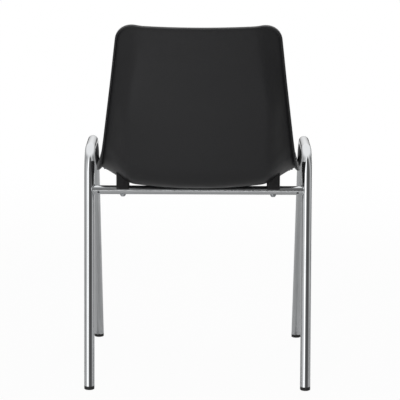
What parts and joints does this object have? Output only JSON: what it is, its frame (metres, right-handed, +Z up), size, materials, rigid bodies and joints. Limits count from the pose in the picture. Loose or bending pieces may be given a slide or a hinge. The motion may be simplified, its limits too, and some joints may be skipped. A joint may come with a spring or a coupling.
{
  "type": "stacking choir chair",
  "caption": "Stacking chair with a one-piece moulded shell, turned rim and rolled front lip, between two inverted-V chromed tube side frames joined by a rear crossbar.",
  "frame": {"origin": "on the floor, at the middle of the chair's bounding box", "axes": "+Z up from the floor, -Y the way the chair faces, +X towards the sitter's left"},
  "size_m": [0.4998, 0.491, 0.7854],
  "materials": {
    "shell": "fine-grained moulded polypropylene",
    "frame_chrome": "bright chrome plate",
    "block": "moulded, satin",
    "foot": "matt",
    "fastener_steel": "zinc plated",
    "insert_brass": "machined"
  },
  "bodies": {
    "root": {"seat_shell": "shell", "rear_crossbar": "frame_chrome", "left_side_frame": "frame_chrome", "right_side_frame": "frame_chrome", "left_mounting_block": "block", "right_mounting_block": "block", "left_crossbar_screw": "fastener_steel", "left_crossbar_washer": "fastener_steel", "left_crossbar_insert": "insert_brass", "left_leg_screw": "fastener_steel", "left_leg_washer": "fastener_steel", "left_leg_spacer": "block", "left_leg_insert": "insert_brass", "right_crossbar_screw": "fastener_steel", "right_crossbar_washer": "fastener_steel", "right_crossbar_insert": "insert_brass", "right_leg_screw": "fastener_steel", "right_leg_washer": "fastener_steel", "right_leg_spacer": "block", "right_leg_insert": "insert_brass", "rear_left_foot": "foot", "rear_right_foot": "foot", "front_left_foot": "foot", "front_right_foot": "foot"}
  },
  "joints": []
}
